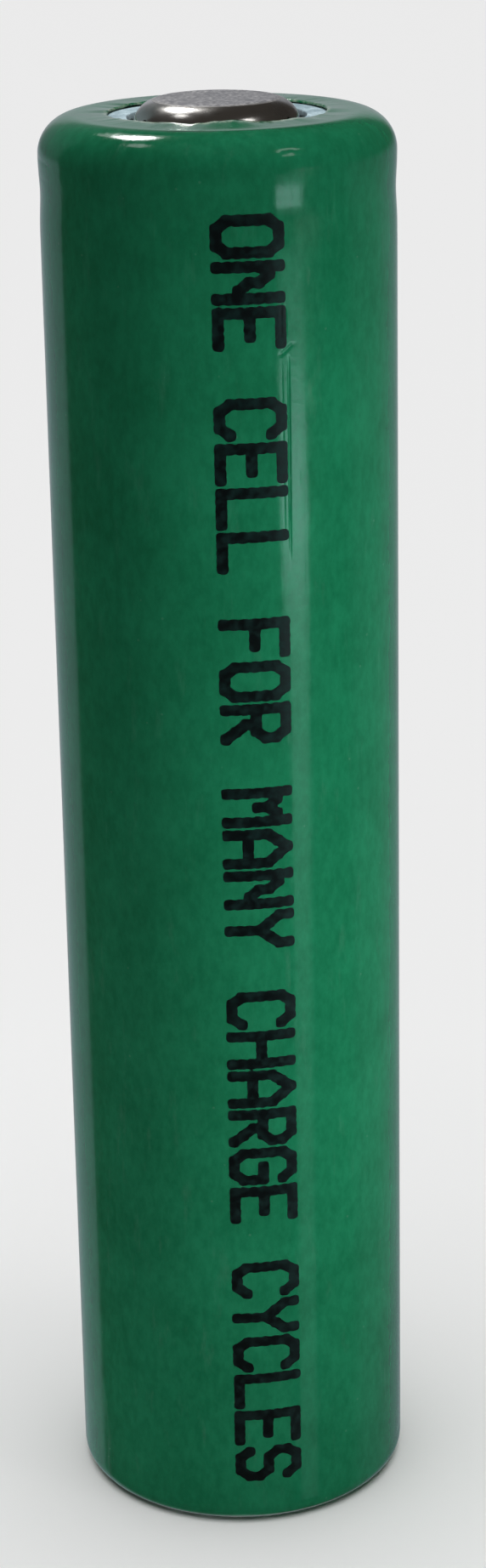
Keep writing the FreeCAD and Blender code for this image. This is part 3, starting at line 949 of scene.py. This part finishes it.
def room_glow(azimuth, elevation):
    """A dark room with a pale wall low behind the cell, which starts more suddenly on the
    left. Above it are a haze on the left and a patch straight behind."""
    left = ramp(azimuth, -120, -122)
    right = 0.5 * ramp(azimuth, 82, 100) + 0.5 * ramp(azimuth, 110, 150)
    wall = BACK_LEFT * left + BACK_RIGHT * right
    straight_back = ramp(abs(azimuth), 150, 178)
    wall = wall * (1 - straight_back) + BACK_MIDDLE * straight_back
    patch = BACK_MIDDLE * ramp(abs(azimuth), 158, 170) * ramp(elevation, 24, 14)
    haze = 0.45 * wall * ramp(azimuth, -90, -130) * ramp(elevation, 50, 12)
    dimmer = 0.8 * ramp(abs(azimuth), 158, 174) * ramp(elevation, -18, -27)
    low = wall * ramp(elevation, 4, -4) * ramp(elevation, -62, -42) * (1 - dimmer)
    return DARK + np.maximum(np.maximum(low, haze), patch)


def window_glow(azimuth, elevation):
    """A window at the right: a bright pane above and a dimmer, narrower one below."""
    level = np.interp(elevation, *zip(*WINDOW))
    left = UPPER_LEFT if elevation > LOWER_PANE else LOWER_LEFT
    across = ramp(azimuth, left, left + 1.2) * ramp(azimuth, WINDOW_RIGHT, WINDOW_RIGHT - 5)
    streak = 1 + 0.14 * noise.noise(Vector((azimuth * 0.9, elevation * 0.12, 3.3)))
    return DAYLIGHT * level * across * streak


def glow_material(name):
    """Gives off the light of the mesh's own "glow" colours."""
    material = bpy.data.materials.new(name)
    material.use_nodes = True
    tree = material.node_tree
    tree.nodes.clear()
    colour = tree.nodes.new("ShaderNodeAttribute")
    colour.attribute_name = "glow"
    emission = tree.nodes.new("ShaderNodeEmission")
    output = tree.nodes.new("ShaderNodeOutputMaterial")
    tree.links.new(colour.outputs["Color"], emission.inputs["Color"])
    tree.links.new(emission.outputs["Emission"], output.inputs["Surface"])
    material.cycles.emission_sampling = "NONE"
    return material


def glowing(name, radius, azimuths, elevations, glow):
    """Part of a sphere round the cell that only reflections see, lit by direction."""
    vertices = []
    colours = []
    for azimuth in azimuths:
        for elevation in elevations:
            vertices.append(towards(azimuth, elevation) * radius)
            colours.append((*glow(azimuth, elevation), 1))
    rows = len(elevations)
    faces = [
        (a * rows + e, (a + 1) * rows + e, (a + 1) * rows + e + 1, a * rows + e + 1)
        for a in range(len(azimuths) - 1)
        for e in range(rows - 1)
    ]
    card = new_object(name, vertices, faces)
    layer = card.data.color_attributes.new("glow", "FLOAT_COLOR", "POINT")
    layer.data.foreach_set("color", np.array(colours).ravel())
    card.data.materials.append(glow_material(name))
    card.visible_camera = False
    card.visible_diffuse = False
    card.visible_shadow = False


def make_room():
    """The room, and the window just inside it, with extra steps at their sudden edges."""
    wall_edge = [-123, -122, -121, -119]
    azimuths = np.unique(np.concatenate([np.arange(-180, 181, 4), wall_edge]))
    glowing("room", ROOM_RADIUS, azimuths, np.arange(-88, 89, 4), room_glow)
    pane_edges = [-10.9, LOWER_PANE + 0.05, LOWER_PANE - 0.05]
    elevations = np.unique(np.concatenate([np.arange(-34, -4, 0.5), pane_edges]))
    glowing("window", 0.95 * ROOM_RADIUS, np.arange(36, 59, 0.5), elevations, window_glow)


def make_world():
    """A pale backdrop that only the camera sees."""
    world = bpy.data.worlds.new("pale_room")
    world.use_nodes = True
    backdrop = world.node_tree.nodes["Background"]
    backdrop.inputs["Color"].default_value = (0.83, 0.83, 0.83, 1)
    bpy.context.scene.world = world
    world.cycles_visibility.diffuse = False
    world.cycles_visibility.glossy = False


# ---------------------------------------------------------------- camera
def make_camera():
    """In front of the cell, looking a little down on it."""
    distance = 94.95 * MM
    height = 55.72 * MM
    pitch = math.radians(19.06)
    yaw = math.radians(0.24)
    roll = math.radians(-1.08)
    forward = Vector(
        (math.sin(yaw) * math.cos(pitch), math.cos(yaw) * math.cos(pitch), -math.sin(pitch))
    )
    level = forward.cross(Vector((0, 0, 1))).normalized()
    rise = level.cross(forward)
    right = math.cos(roll) * level + math.sin(roll) * rise
    up = math.cos(roll) * rise - math.sin(roll) * level
    camera = bpy.data.objects.new("camera", bpy.data.cameras.new("camera"))
    camera.data.lens = 74.9
    camera.data.clip_start = 0.002
    camera.data.clip_end = 20
    camera.matrix_world = Matrix(
        [
            [right.x, up.x, -forward.x, 0],
            [right.y, up.y, -forward.y, -distance],
            [right.z, up.z, -forward.z, height],
            [0, 0, 0, 1],
        ]
    )
    bpy.context.scene.collection.objects.link(camera)
    bpy.context.scene.camera = camera


# ---------------------------------------------------------------- put together
paint(make_sleeve(), film_material())
paint(make_print(), ink_material())
paint(make_cap(), cap_material())
paint(make_washer(), washer_material())
paint(make_rubber(), rubber_material())
paint_cad_nodes()
make_floor()
make_lamps()
make_room()
make_world()
make_camera()
bpy.context.scene.view_settings.view_transform = "Standard"
